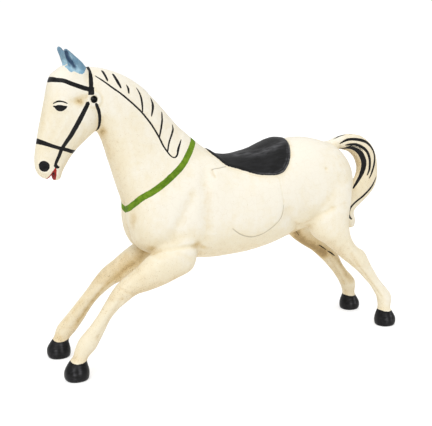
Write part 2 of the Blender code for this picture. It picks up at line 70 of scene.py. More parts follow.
bpy.ops.object.select_all(action="DESELECT")
carved = bpy.data.objects.new("carved_horse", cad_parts["horse"].data.copy())
bpy.context.scene.collection.objects.link(carved)
bpy.context.view_layer.objects.active = carved
carved.select_set(True)
carved.data.materials.clear()
bpy.ops.object.mode_set(mode="EDIT")
bpy.ops.mesh.select_all(action="SELECT")
bpy.ops.mesh.remove_doubles(threshold=SEAM_GAP)
bpy.ops.object.mode_set(mode="OBJECT")
clay = carved.modifiers.new("clay", "REMESH")
clay.mode = "VOXEL"
clay.voxel_size = CLAY_MM / 1000
bpy.ops.object.modifier_apply(modifier=clay.name)


def read_points(mesh):
    """The vertices in squares, centred as the carver's grid is."""
    flat = np.empty(len(mesh.vertices) * 3)
    mesh.vertices.foreach_get("co", flat)
    return flat.reshape(-1, 3) / SQUARE + (GRID_MIDDLE, 0, 0)


def write_points(mesh, points):
    mesh.vertices.foreach_set("co", ((points - (GRID_MIDDLE, 0, 0)) * SQUARE).ravel())
    mesh.update()


def read_normals(mesh):
    flat = np.empty(len(mesh.vertices) * 3)
    mesh.vertices.foreach_get("normal", flat)
    return flat.reshape(-1, 3)


def read_edges(mesh):
    flat = np.empty(len(mesh.edges) * 2, dtype=np.int32)
    mesh.edges.foreach_get("vertices", flat)
    return flat.reshape(-1, 2)


def relaxed(values, edges, passes, give=1.0):
    """Values that flow evenly to their neighbours, as rubbing down with sandpaper does."""
    count = len(values)
    first, second = edges[:, 0], edges[:, 1]
    links = np.bincount(edges.ravel(), minlength=count)
    for _ in range(passes):
        moved = np.empty_like(values)
        for axis in range(values.shape[1]):
            column = values[:, axis]
            total = np.bincount(first, column[second], count) + np.bincount(
                second, column[first], count
            )
            moved[:, axis] = total / links - column
        values = values + 0.5 * moved * give
    return values


def curve_through(points, steps=6):
    """A smooth row through the given points. A fourth number, a half width, goes with them."""
    rows = np.array(points, float)
    framed = np.vstack((2 * rows[0] - rows[1], rows, 2 * rows[-1] - rows[-2]))
    out = []
    for i in range(len(rows) - 1):
        a, b, c, d = framed[i : i + 4]
        for k in range(steps):
            t = k / steps
            bend = (2 * a - 5 * b + 4 * c - d) * t * t + (3 * b - a - 3 * c + d) * t**3
            out.append(0.5 * (2 * b + (c - a) * t + bend))
    out.append(rows[-1])
    return np.array(out)


def to_left(points, normals):
    """Both sides folded over to the left one, where the lines are drawn."""
    folded = points.copy()
    folded[:, 1] = -np.abs(points[:, 1])
    facing = normals.copy()
    facing[:, 1] = np.where(points[:, 1] > 0, -normals[:, 1], normals[:, 1])
    return folded, facing


def along_line(points, normals, line, reach=3.0):
    """For points on the surface: the signed distance to a line on it and the line's half width
    there, rounded off at its ends. Points out of reach keep a large distance."""
    side = np.full(len(points), 99.0)
    room = np.zeros(len(points))
    low, high = line[:, :3].min(0) - reach, line[:, :3].max(0) + reach
    near = np.nonzero(((points > low) & (points < high)).all(1))[0]
    spots, facing = points[near], normals[near]
    best = np.full(len(near), 99.0)
    near_side = np.full(len(near), 99.0)
    near_room = np.zeros(len(near))
    for i in range(len(line) - 1):
        start, way = line[i, :3], line[i + 1, :3] - line[i, :3]
        length = np.linalg.norm(way)
        way = way / length
        raw = (spots - start) @ way
        at = np.clip(raw, 0, length)
        away = spots - start - at[:, None] * way
        lift = np.clip((away * facing).sum(1), -1.5, 1.5)
        away = away - lift[:, None] * facing
        gap = np.linalg.norm(away, axis=1)
        half = line[i, 3] + (line[i + 1, 3] - line[i, 3]) * at / length
        beyond = np.zeros(len(near))
        if i == 0:
            beyond = np.maximum(beyond, -raw)
        if i == len(line) - 2:
            beyond = np.maximum(beyond, raw - length)
        turn = np.sign((np.cross(way, away) * facing).sum(1))
        closer = gap - half < best
        best[closer] = (gap - half)[closer]
        across = np.sqrt(np.maximum(gap**2 - beyond**2, 0))
        near_side[closer] = (np.where(turn < 0, -1, 1) * across)[closer]
        cap = np.sqrt(np.maximum(half**2 - beyond**2, 0))
        near_room[closer] = np.where(beyond < half, cap, half - beyond)[closer]
    side[near], room[near] = near_side, near_room
    return side, room


def drawn(rows, half):
    """A line from (x, y, z) rows, with one half width or one for each row."""
    halves = [half] * len(rows) if np.isscalar(half) else list(half)
    return curve_through([(*row, h) for row, h in zip(rows, halves)])


def near_spot(points, spot, spread):
    """1 at a spot, falling to 0 over its spread, a number or one for each axis."""
    return np.exp(-(((points - spot) / spread) ** 2).sum(1))


def rise(values, low, high):
    t = np.clip((values - low) / (high - low), 0, 1)
    return t * t * (3 - 2 * t)


points = read_points(carved.data)
edges = read_edges(carved.data)
folded, facing = to_left(points, read_normals(carved.data))

RAIL_EYE = (-46.8, -5.43, 85.58)
MOUTH_AT = (-59.6, -1.5, 63.0)
SADDLE_RIM = (
    (-7.6, 0.5, 68.5), (-6.5, -2.5, 67.3), (-5.2, -4.5, 65.9), (-3.8, -6.5, 64.3),
    (-2.6, -7.5, 63.4), (0.4, -8.5, 62.4), (4.0, -9.7, 61.2), (7.5, -10.8, 60.2),
    (11.0, -11.7, 59.9), (14.0, -12.1, 59.9), (16.5, -12.0, 60.8), (18.6, -11.2, 62.8),
    (20.2, -9.8, 65.2), (21.6, -7.2, 68.0), (22.6, -4.0, 69.8), (23.2, 0.5, 70.4),
)
rim = drawn(SADDLE_RIM, 0.0)

# Sandpaper is kept off the saddle's rim, the soles, the ear tips, the rail's hole and the mouth.
rim_side, _ = along_line(folded, facing, rim, 4.0)
give = np.ones(len(points))
give = np.minimum(give, 0.18 + rise(np.abs(rim_side), 0.6, 3.0))
give = np.minimum(give, 0.12 + rise(points[:, 2], 0.3, 2.2))
give = np.minimum(give, 0.25 + rise(-points[:, 2], -95.0, -92.0))
give = np.minimum(give, 1 - 0.8 * near_spot(folded, RAIL_EYE, 3.0))
give = np.minimum(give, 1 - 0.7 * near_spot(folded, MOUTH_AT, 3.5))
give = give[:, None]

settled = relaxed(points, edges, 3)
rounded = relaxed(settled, edges, ROUNDING_PASSES, give)
points = rounded + relaxed(settled - rounded, edges, KEEP_BULK_PASSES)
points[:, 2] = np.maximum(points[:, 2], 0.0)
write_points(carved.data, points)

# ---------------------------------------------------------------------------------------------
# The saddle: carved from the same block, a low arched seat with a rolled rim that stands proud
# of the back. Its flap is only a line cut into the barrel below it.
# ---------------------------------------------------------------------------------------------
SEAT_RIDGE = (
    (-2.0, -1.3, 66.4), (2.7, -1.6, 66.4), (8.7, -3.7, 67.1), (13.0, -4.9, 68.1),
    (17.5, -5.0, 69.8),
)
FLAP_LINE = (
    (13.6, -12.1, 59.4), (14.4, -12.4, 58.2), (14.8, -13.4, 54.4), (15.5, -13.6, 49.8),
    (15.5, -13.4, 47.3), (14.7, -13.3, 45.2), (12.8, -13.1, 43.2), (10.2, -12.8, 41.4),
    (7.2, -12.5, 40.1), (4.2, -12.5, 39.6), (1.4, -12.8, 40.2), (-1.2, -13.1, 41.4),
    (-3.7, -13.4, 43.3),
)

points = read_points(carved.data)
normals = read_normals(carved.data)
folded, facing = to_left(points, normals)
lift = np.zeros(len(points))


def cut_line(line, depth, width, reach=3.0):
    """A gouged line, deepest on the line; a negative depth is a bead."""
    side, room = along_line(folded, facing, line, reach)
    depth = np.where(room < -0.01, depth * np.exp(-((room / width) ** 2)), depth)
    return -depth * np.exp(-((side / width) ** 2))


rim_side, _ = along_line(folded, facing, rim, 4.0)
lift += 0.10 * np.exp(-(((rim_side - 0.9) / 0.7) ** 2))
lift -= 0.16 * np.exp(-(((rim_side + 0.35) / 0.4) ** 2))
lift -= 0.05 * np.exp(-(((rim_side + 1.25) / 0.16) ** 2)) * rise(points[:, 0], 9.0, 13.0)
lift += cut_line(drawn(SEAT_RIDGE, 0.0), -0.14, 0.9)
lift += cut_line(drawn(FLAP_LINE, 0.0), 0.16, 0.22)

# ---------------------------------------------------------------------------------------------
# Muscle and bone: creases cut with a veiner at the shoulder, elbow, flank and thigh, sinews
# raised or sunk along the legs, and a few small dents in the rump and chest.
# ---------------------------------------------------------------------------------------------
CREASES = (
    (((-9.0, -9.3, 62.6), (-6.4, -8.7, 62.9), (-3.1, -7.6, 63.3)), 0.10, 0.22),
    (((-9.0, -9.3, 62.6), (-8.7, -10.7, 60.3)), 0.10, 0.4),
    (
        (
            (-11.3, -8.5, 64.1), (-11.8, -10.9, 59.6), (-12.2, -12.5, 55.0), (-11.9, -13.3, 50.2),
            (-11.6, -13.3, 45.2),
        ),
        0.30, 2.2,
    ),
    (
        ((-16.9, -12.6, 54.3), (-19.6, -13.1, 50.1), (-22.2, -12.8, 45.8), (-23.6, -11.9, 41.2)),
        0.34, 1.9,
    ),
    (
        (
            (-30.2, -8.6, 36.9), (-26.5, -11.3, 38.3), (-22.0, -12.8, 38.7), (-17.0, -12.2, 38.7),
            (-13.2, -11.0, 37.4),
        ),
        0.30, 0.7,
    ),
    (
        (
            (22.0, -10.8, 42.6), (25.5, -8.9, 40.8), (28.7, -9.4, 42.3), (31.2, -11.4, 44.4),
            (35.6, -13.0, 46.9),
        ),
        0.14, 0.55,
    ),
    (((35.6, -13.0, 46.9), (38.6, -13.3, 48.0), (41.0, -12.9, 48.5)), 0.07, 0.45),
    (((17.9, -12.9, 47.0), (20.5, -11.9, 43.8), (24.0, -9.2, 40.6)), 0.22, 1.6),
)
SINEWS = (
    (
        (
            (-31.9, -5.7, 30.2), (-36.0, -6.5, 27.0), (-40.5, -7.3, 23.2), (-45.6, -8.4, 17.2),
            (-50.0, -8.8, 11.8),
        ),
        0.22, 1.0,
    ),
    (
        (
            (-36.0, -7.7, 31.0), (-40.8, -8.0, 26.5), (-45.0, -8.8, 21.0), (-49.5, -9.2, 15.5),
            (-53.0, -9.4, 11.5),
        ),
        -0.24, 1.1,
    ),
    (
        ((-42.1, -13.0, 24.2), (-44.6, -12.4, 20.5), (-47.2, -12.2, 16.6), (-50.0, -12.6, 12.9)),
        0.24, 0.7,
    ),
    (((-28.8, -12.0, 36.2), (-23.1, -13.2, 37.0), (-18.6, -13.2, 34.6)), 0.16, 0.9),
    (((-43.0, -12.0, 28.0), (-40.6, -12.9, 26.6), (-38.0, -12.4, 25.0)), 0.16, 0.6),
    (
        ((44.5, -12.4, 29.5), (48.5, -12.8, 23.5), (53.5, -12.8, 17.2), (58.5, -13.2, 11.5)),
        0.24, 0.7,
    ),
    (((43.0, -12.6, 33.0), (46.5, -12.9, 29.8), (49.5, -12.9, 25.5)), -0.22, 1.0),
    (((44.0, -7.6, 29.0), (49.0, -8.2, 23.6), (54.0, -9.0, 17.0), (58.0, -9.8, 11.0)), 0.26, 0.8),
)
DENTS = (
    ((33.2, -12.4, 60.9), 0.35, 0.5), ((35.5, -3.9, 69.8), 0.45, 0.35),
    ((-35.8, -6.4, 47.3), 0.10, 0.35), ((-35.2, -7.5, 45.6), 0.10, 0.35),
    ((-33.9, -8.0, 47.9), 0.10, 0.35),
)
for path, depth, width in CREASES + SINEWS:
    lift += cut_line(drawn(path, 0.0), depth, width)
for spot, depth, width in DENTS:
    lift -= depth * near_spot(folded, spot, width)

# ---------------------------------------------------------------------------------------------
# The head: a lidded eye, a rimmed nostril, a hollow at the temple and a ring turned round the
# hole for the hand rail, all cut from the block.
# ---------------------------------------------------------------------------------------------
UPPER_LID = ((-58.9, -4.6, 84.1), (-57.6, -5.5, 84.7), (-56.4, -5.9, 84.5), (-55.2, -6.15, 84.0))
LOWER_LID = ((-58.8, -4.7, 83.1), (-57.4, -5.55, 82.3), (-56.3, -5.9, 82.5), (-55.4, -6.1, 83.3))
JAW_LINE = ((-50.6, -5.9, 78.0), (-49.6, -5.7, 75.2), (-50.8, -4.4, 72.6))
CHEEK_BONE = ((-55.4, -5.7, 80.0), (-57.2, -4.9, 76.6), (-58.9, -4.2, 73.4))
EYEBALL, EYEBALL_SPREAD = (-57.3, -5.6, 83.5), (1.7, 1.4, 0.75)
TEMPLE, TEMPLE_SPREAD = (-52.5, -6.2, 85.3), (1.6, 2.0, 0.9)
NOSTRIL_AT = (-62.3, -3.3, 65.85)
EAR_CUP = (
    (-54.6, -4.3, 99.4), (-54.2, -4.0, 98.2), (-53.6, -4.0, 97.2), (-52.9, -4.4, 96.2),
    (-52.4, -4.6, 95.4),
)

lift += 0.12 * near_spot(folded, EYEBALL, EYEBALL_SPREAD)
lift += cut_line(drawn(UPPER_LID, 0.0), -0.10, 0.22)
lift += cut_line(drawn(LOWER_LID, 0.0), -0.06, 0.2)
lift += cut_line(drawn(CHEEK_BONE, 0.0), -0.12, 0.8)
lift += cut_line(drawn(JAW_LINE, 0.0), 0.12, 0.8)
lift -= 0.25 * near_spot(folded, TEMPLE, TEMPLE_SPREAD)
from_nostril = np.linalg.norm(folded - NOSTRIL_AT, axis=1)
lift += 0.10 * np.exp(-(((from_nostril - 2.0) / 0.35) ** 2))
lift -= 0.22 * rise(-from_nostril, -1.6, -0.9)
from_eyelet = np.hypot(folded[:, 0] - RAIL_EYE[0], folded[:, 2] - RAIL_EYE[2])
on_cheek = folded[:, 1] < -4.4
lift += 0.13 * np.exp(-(((from_eyelet - 1.75) / 0.4) ** 2)) * on_cheek
lift -= 0.08 * np.exp(-(((from_eyelet - 2.6) / 0.3) ** 2)) * on_cheek
lift += cut_line(drawn(EAR_CUP, 0.0), 0.55, 0.7)

# ---------------------------------------------------------------------------------------------
# Mane and tail: the mane lies flat, a shallow step with a few strokes; the tail is one curved
# lock with strands gouged along it.
# ---------------------------------------------------------------------------------------------
MANE_LINE = (
    (-45.7, -3.8, 92.5, 0.12), (-43.4, -4.3, 91.0, 0.20), (-40.9, -4.8, 89.1, 0.24),
    (-38.2, -5.1, 87.2, 0.24), (-34.2, -5.3, 83.9, 0.26), (-31.4, -5.4, 81.2, 0.27),
    (-29.0, -5.7, 78.1, 0.27), (-27.4, -6.1, 75.5, 0.28), (-26.3, -6.5, 73.3, 0.28),
    (-25.3, -7.1, 71.0, 0.26), (-24.1, -7.5, 69.0, 0.24), (-23.1, -7.9, 67.7, 0.17),
    (-21.8, -8.0, 67.0, 0.15), (-20.7, -7.5, 67.7, 0.22), (-20.0, -6.7, 69.3, 0.30),
    (-19.0, -5.7, 70.9, 0.22), (-18.0, -4.7, 72.4, 0.06),
)
MANE_STROKES = (
    ((-43.0, -2.3, 94.0, 0.34), (-42.5, -3.2, 92.7, 0.34), (-42.0, -4.1, 91.2, 0.28)),
    ((-39.6, -2.4, 92.9, 0.34), (-38.7, -3.7, 90.9, 0.44), (-37.9, -4.3, 89.0, 0.26)),
    ((-35.7, -3.4, 89.8, 0.12), (-35.3, -3.9, 88.7, 0.30), (-35.3, -4.4, 87.4, 0.22)),
    (
        (-32.2, -2.7, 88.8, 0.10), (-31.3, -3.4, 86.8, 0.26), (-31.0, -4.3, 84.5, 0.30),
        (-31.2, -5.3, 81.5, 0.14),
    ),
    ((-27.2, -2.1, 85.5, 0.16), (-27.0, -3.2, 83.4, 0.42), (-28.1, -4.9, 80.2, 0.16)),
    (
        (-23.8, -2.7, 81.1, 0.16), (-24.3, -4.2, 78.6, 0.30), (-25.4, -5.6, 75.6, 0.24),
        (-26.2, -6.5, 73.5, 0.16),
    ),
    (
        (-20.3, -2.9, 77.0, 0.10), (-20.6, -4.1, 75.4, 0.28), (-22.7, -6.1, 72.1, 0.22),
        (-23.9, -7.5, 69.0, 0.18),
    ),
)
TAIL_STROKES = (
    (
        (45.9, -2.2, 68.2, 0.10), (48.0, -2.3, 69.2, 0.30), (50.1, -2.3, 69.6, 0.40),
        (53.5, -2.5, 69.4, 0.48), (57.0, -2.2, 68.6, 0.58), (58.3, -2.2, 67.9, 0.62),
        (59.6, -2.1, 66.9, 0.62), (60.4, -2.1, 65.8, 0.58), (61.1, -2.1, 64.6, 0.54),
        (61.5, -2.2, 63.1, 0.50), (61.5, -2.4, 61.4, 0.48), (61.1, -2.6, 59.2, 0.42),
        (60.1, -2.7, 56.3, 0.24), (59.3, -2.7, 54.8, 0.08),
    ),
    (
        (48.3, -2.4, 67.4, 0.06), (49.2, -2.4, 67.6, 0.20), (50.8, -2.6, 67.7, 0.34),
        (52.9, -2.8, 67.5, 0.40), (55.9, -2.9, 66.2, 0.46), (57.9, -3.0, 64.3, 0.44),
        (59.0, -2.9, 61.6, 0.42), (59.1, -2.8, 58.4, 0.34), (58.6, -2.7, 56.7, 0.20),
        (58.3, -2.6, 55.9, 0.08),
    ),
    (
        (46.3, -0.8, 66.0, 0.10), (47.4, -1.0, 66.2, 0.24), (49.6, -2.0, 66.5, 0.46),
        (51.2, -2.2, 66.3, 0.56), (52.7, -2.3, 65.8, 0.68), (54.0, -2.4, 65.0, 0.78),
        (55.2, -2.4, 63.9, 0.86), (56.1, -2.4, 62.4, 0.90), (56.7, -2.3, 60.9, 0.90),
        (56.8, -2.2, 59.4, 0.86), (56.5, -1.9, 57.5, 0.74), (55.7, -1.7, 55.5, 0.58),
        (54.4, -1.6, 53.5, 0.44), (53.0, -1.3, 51.3, 0.20),
    ),
    (
        (63.2, -1.9, 54.9, 0.10), (62.1, -2.1, 53.2, 0.28), (61.1, -2.1, 51.6, 0.40),
        (59.7, -2.1, 50.2, 0.44), (58.3, -2.1, 49.0, 0.40), (56.8, -2.1, 47.8, 0.34),
        (54.0, -1.9, 46.0, 0.25), (52.0, -1.6, 44.0, 0.24), (51.3, -1.4, 42.0, 0.22),
        (51.6, -1.3, 40.8, 0.24), (52.1, -1.4, 40.0, 0.24), (52.8, -1.5, 39.5, 0.12),
    ),
    (
        (44.2, -0.5, 69.7, 0.05), (45.4, -0.5, 70.4, 0.16), (46.8, -0.3, 70.8, 0.22),
        (48.2, -0.3, 71.1, 0.22), (49.4, -0.3, 71.3, 0.08),
    ),
    ((51.2, -0.3, 71.5, 0.08), (53.3, -0.3, 71.5, 0.18), (54.9, -0.4, 71.3, 0.06)),
)

mane_side, _ = along_line(folded, facing, curve_through(MANE_LINE), 3.0)
mane_step = 0.06 * rise(-mane_side, -0.3, 0.3) * np.exp(-((mane_side / 1.6) ** 2))
lift += mane_step * (np.abs(mane_side) < 4)
for stroke in MANE_STROKES:
    lift += cut_line(curve_through(stroke), 0.05, 0.35)
for stroke in TAIL_STROKES:
    lift += cut_line(curve_through(stroke), 0.22, 0.42)

# ---------------------------------------------------------------------------------------------
# The wood's skin: the soft unevenness of hand carving, left under the paint, and a few knocks.
# The mesh is then thinned to what one part may hold, keeping its creases.
# ---------------------------------------------------------------------------------------------
LONG_WAVES = {"longest": 13.0, "shortest": 6.0, "height": 0.045, "count": 30}
SHORT_WAVES = {"longest": 4.0, "shortest": 2.0, "height": 0.016, "count": 40}
KNOCKS = 90
MOST_TRIANGLES = 192000
SHARP_FROM = math.radians(50)
CARVER = np.random.default_rng(7)


def waves(points, longest, shortest, height, count):
    """An even, endless unevenness from crossing waves."""
    total = np.zeros(len(points))
    for _ in range(count):
        way = CARVER.normal(size=3)
        way /= np.linalg.norm(way)
        size = CARVER.uniform(shortest, longest)
        total += np.sin(points @ way * 2 * math.pi / size + CARVER.uniform(0, 6.28))
    return total * height / math.sqrt(count)


calm = rise(points[:, 2], 0.5, 3.0)
lift += waves(points, **LONG_WAVES) * calm
lift += waves(points, **SHORT_WAVES) * calm
for _ in range(KNOCKS):
    seat = points[CARVER.integers(len(points))]
    lift -= CARVER.uniform(0.03, 0.09) * near_spot(points, seat, CARVER.uniform(0.25, 0.6)) * calm
points += normals * lift[:, None]
points[:, 2] = np.maximum(points[:, 2], 0.0)
write_points(carved.data, points)

triangles = sum(len(face.vertices) - 2 for face in carved.data.polygons)
thin = carved.modifiers.new("thin", "DECIMATE")
thin.ratio = MOST_TRIANGLES / triangles
thin.use_collapse_triangulate = True
bpy.ops.object.modifier_apply(modifier=thin.name)
bpy.ops.object.shade_smooth_by_angle(angle=SHARP_FROM)
for modifier in list(carved.modifiers):
    bpy.ops.object.modifier_apply(modifier=modifier.name)

# ---------------------------------------------------------------------------------------------
# Where each paint goes. Black lines are brushed on freehand: bridle, mane, tail, eyes and
# nostrils. A colour's field is a distance in squares, above 0 inside the painted shape.
# ---------------------------------------------------------------------------------------------
BROWBAND = drawn(
    (
        (-59.3, 1.0, 91.5), (-59.0, -1.1, 91.5), (-57.6, -3.9, 91.4), (-55.9, -5.0, 91.2),
        (-54.1, -5.6, 90.5), (-52.2, -5.8, 89.8), (-50.2, -5.7, 89.1), (-48.3, -5.4, 88.6),
    ),
    (0.78, 0.78, 0.62, 0.58, 0.6, 0.62, 0.64, 0.64),
)
CROWN = drawn(
    (
        (-47.9, 1.0, 95.3), (-47.8, -0.6, 95.25), (-47.45, -2.64, 94.3), (-47.3, -3.7, 92.8),
        (-47.3, -4.4, 91.3), (-47.5, -4.9, 89.6), (-47.6, -5.2, 88.7),
    ),
    (0.80, 0.85, 0.64, 0.60, 0.62, 0.64, 0.64),
)
KEEPER_AT, KEEPER_HALF = (-47.6, 88.1), (0.95, 1.2)
EYELET_SHADE_HALF = 1.10
CHEEK_STRAP = drawn(
    (
        (-49.0, -6.1, 84.4), (-50.6, -6.4, 81.6), (-52.2, -6.1, 78.7), (-54.1, -5.3, 75.2),
        (-55.7, -4.6, 72.8), (-56.9, -4.1, 70.8), (-57.7, -3.8, 68.8), (-58.5, -3.7, 67.1),
        (-58.9, -3.6, 66.0), (-58.3, -3.5, 65.4), (-57.7, -3.4, 65.4),
    ),
    (0.56, 0.6, 0.64, 0.62, 0.54, 0.5, 0.46, 0.42, 0.42, 0.38, 0.2),
)
THROAT_LASH = drawn(
    (
        (-46.2, -5.6, 84.0), (-45.4, -5.3, 82.0), (-45.0, -4.6, 79.4), (-45.1, -3.4, 77.0),
        (-45.6, -2.1, 75.9),
    ),
    (0.44, 0.46, 0.42, 0.32, 0.18),
)
NOSEBAND = drawn(
    (
        (-63.6, 1.0, 73.3), (-63.2, -1.4, 73.2), (-61.9, -3.1, 72.8), (-59.8, -3.8, 72.0),
        (-57.7, -4.1, 71.3), (-55.4, -4.0, 70.6), (-52.6, -2.2, 69.7),
    ),
    (0.74, 0.74, 0.6, 0.5, 0.48, 0.52, 0.58),
)
EYE = drawn(
    (
        (-59.0, -4.6, 83.75), (-58.4, -5.1, 83.5), (-57.8, -5.4, 83.3), (-57.1, -5.6, 83.2),
        (-56.3, -5.9, 83.3), (-55.4, -6.1, 83.65),
    ),
    (0.1, 0.34, 0.74, 0.82, 0.56, 0.1),
)
EYELID = drawn(
    (
        (-59.1, -4.5, 84.5), (-58.4, -5.0, 84.95), (-57.6, -5.4, 85.2), (-56.4, -5.8, 85.05),
        (-55.2, -6.1, 84.55),
    ),
    (0.06, 0.15, 0.19, 0.15, 0.06),
)
NOSTRIL = drawn(((-62.4, -3.2, 65.9), (-62.2, -3.35, 65.8)), 1.5)

# The flap's cut line and the line at the saddle's front are drawn grey, the flap's darkest along
# its lower curve, and the right hind leg has short open splits.
SCORES = (
    drawn(FLAP_LINE[3:], (0.03, 0.05, 0.06, 0.07, 0.09, 0.12, 0.13, 0.12, 0.10, 0.02)),
    drawn(
        (
            (-9.6, -9.5, 62.5), (-8.4, -9.1, 62.8), (-6.4, -8.7, 62.9), (-4.2, -8.0, 63.1),
            (-3.1, -7.6, 63.3),
        ),
        (0.02, 0.06, 0.08, 0.10, 0.03),
    ),
)
LEG_SPLITS = (
    drawn(((43.6, 6.5, 28.9), (45.2, 6.7, 27.9), (47.6, 7.1, 26.3)), (0.03, 0.16, 0.04)),
    drawn(((48.2, 7.2, 25.9), (50.0, 7.5, 24.9), (52.4, 7.9, 23.2)), (0.05, 0.22, 0.05)),
    drawn(((30.5, 4.0, 36.6), (32.4, 5.0, 35.6), (34.0, 5.4, 34.2)), (0.01, 0.03, 0.01)),
)

points = read_points(carved.data)
normals = read_normals(carved.data)
edges = read_edges(carved.data)
folded, facing = to_left(points, normals)


def paint_field(name, values):
    """A named value on each vertex, which the material reads."""
    if values.ndim == 1:
        carved.data.attributes.new(name, "FLOAT", "POINT").data.foreach_set("value", values)
    else:
        made = carved.data.attributes.new(name, "FLOAT_VECTOR", "POINT")
        made.data.foreach_set("vector", values.ravel())


def line_field(name, lines, where, turned):
    """Distance across the nearest line, its half width there, and how far inside it a point is."""
    best = np.tile((9.0, 0.0, -9.0), (len(points), 1))
    for line in lines:
        side, room = along_line(where, turned, line)
        within = room - np.abs(side)
        better = within > best[:, 2]
        best[better] = np.column_stack((side, room, within))[better]
    paint_field(name, np.clip(best, -9.0, 9.0))


tail_lines = [curve_through(stroke) for stroke in TAIL_STROKES]
mane_lines = [curve_through(stroke) for stroke in MANE_STROKES]
first_lines = [BROWBAND, NOSEBAND, EYE, NOSTRIL, curve_through(MANE_LINE)]
line_field("ink", first_lines + tail_lines, folded, facing)
line_field("ink_over", [CROWN, CHEEK_STRAP, THROAT_LASH, EYELID] + mane_lines, folded, facing)
line_field("scores", SCORES, folded, facing)
line_field("splits", LEG_SPLITS, points, normals)

COLLAR_HALF = 1.06
COLLAR = drawn(
    (
        (-12.0, 1.5, 72.5), (-12.2, 0.0, 72.4), (-13.4, -3.5, 71.0), (-16.1, -6.4, 68.0),
        (-19.3, -8.6, 64.6), (-22.9, -9.8, 61.8), (-26.8, -10.2, 59.0), (-30.3, -10.0, 56.8),
        (-33.4, -8.4, 54.8), (-34.6, -6.9, 53.3), (-35.3, -5.5, 52.3), (-35.9, -3.8, 51.2),
        (-36.0, -1.2, 50.4), (-36.0, 0.0, 50.1), (-36.0, 2.0, 50.0),
    ),
    COLLAR_HALF,
)
side, room = along_line(folded, facing, COLLAR)
paint_field("collar", np.clip(room - np.abs(side), -5.0, 5.0))

rim_side, rim_room = along_line(folded, facing, rim, 4.0)
rim_low = np.interp(points[:, 0], rim[:, 0], rim[:, 2])
over_rim = (points[:, 2] > rim_low) & (points[:, 0] > rim[0, 0]) & (points[:, 0] < rim[-1, 0])
on_rim = np.where(rim_room < 0, rim_room, rim_side + 0.12)
black = np.where(rim_side > 90, np.where(over_rim, 4.0, -4.0), on_rim)

# Black gloss on the saddle, the hooves and the strap's keeper, and black in the rail's hole as
# painted shade. Painted highlights in grey lie along the seat, on the rim and its groove, and
# down the front of each hoof.
SEAT_SHINE = (
    (2.7, -2.6, 66.2), (8.7, -4.9, 66.7), (13.0, -5.9, 67.6), (17.0, -6.0, 69.2),
    (20.0, -4.6, 70.4),
)
shine_side, shine_room = along_line(folded, facing, drawn(SEAT_SHINE, 0.0), 4.0)
painted_highlight = 0.5 * np.exp(-((shine_side / 1.4) ** 2) - np.minimum(shine_room, 0) ** 2)
rim_gleam = 1.1 * np.exp(-(((rim_side - 0.5) / 0.2) ** 2)) * rise(points[:, 0], 4.0, 12.0)
groove_gleam = 0.4 * np.exp(-(((rim_side - 1.3) / 0.16) ** 2)) * rise(points[:, 0], 9.0, 14.0)
painted_highlight = np.maximum(np.maximum(painted_highlight, rim_gleam), groove_gleam)

HOOF_MIDDLES = ((-56.6, -10.7), (-56.7, 10.7), (62.4, -11.1), (62.2, 11.1))
HOOF_TOP = 5.95
# Painted highlights: soft grey streaks down each hoof's front.
for x, y in HOOF_MIDDLES:
    painted_highlight = np.maximum(painted_highlight, 0.75 * near_spot(points, (x + 0.2, y - 3.4, 4.0), (0.45, 2.5, 1.3)))
    painted_highlight = np.maximum(painted_highlight, 0.45 * near_spot(points, (x - 1.6, y - 3.2, 3.2), (0.5, 2.5, 1.6)))
    dx, dy = points[:, 0] - x, points[:, 1] - y
    close = (np.hypot(dx, dy) < 7) & (points[:, 2] < 12)
    around = (dx**2 - dy**2) / (dx**2 + dy**2 + 0.01)
    black = np.where(close, np.maximum(black, HOOF_TOP + 0.25 * around - points[:, 2]), black)
# Painted shade: the rail's hole is filled black as far as its rim.
from_eyelet = np.hypot(folded[:, 0] - RAIL_EYE[0], folded[:, 2] - RAIL_EYE[2])
black = np.maximum(black, np.where(points[:, 2] > 80, EYELET_SHADE_HALF - from_eyelet, -4.0))
across = KEEPER_HALF[0] - np.abs(points[:, 0] - KEEPER_AT[0] + 0.1 * (KEEPER_AT[1] - points[:, 2]))
keeper = np.minimum(across, KEEPER_HALF[1] - np.abs(points[:, 2] - KEEPER_AT[1]))
black = np.maximum(black, np.where(np.abs(points[:, 1]) > 3.5, keeper, -4.0))
paint_field("black", np.clip(black, -4.0, 4.0))
paint_field("painted_highlight", painted_highlight)

# Blue on the ears, painted darker in their cups as shade, and red between the lips.
EAR_EDGE = (
    (-54.8, 95.6), (-54.2, 94.5), (-53.4, 93.6), (-52.2, 93.9), (-51.3, 93.3), (-50.1, 93.0),
    (-49.4, 93.4), (-48.9, 94.4), (-48.3, 95.6), (-47.4, 98.0),
)
ear_edge = np.interp(points[:, 0], *zip(*EAR_EDGE))
blue = np.minimum(points[:, 2] - ear_edge, np.abs(points[:, 1]) - 2.1)
paint_field("blue", np.clip(blue, -4.0, 4.0))
cup_side, cup_room = along_line(folded, facing, drawn(EAR_CUP, 0.0))
paint_field("ear_cup_shade", np.exp(-((cup_side / 0.62) ** 2) - np.minimum(cup_room, 0) ** 2))

LIPS = ((-61.1, 61.8), (-58.75, 65.3), (-58.85, 60.9))
red = np.full(len(points), 4.0)
for (x0, z0), (x1, z1) in zip(LIPS, LIPS[1:] + LIPS[:1]):
    dx, dz = x1 - x0, z1 - z0
    inward = ((points[:, 2] - z0) * -dx + (points[:, 0] - x0) * dz) / math.hypot(dx, dz)
    red = np.minimum(red, inward)
paint_field("red", np.where(points[:, 2] < 67.0, red + 0.28, -4.0))
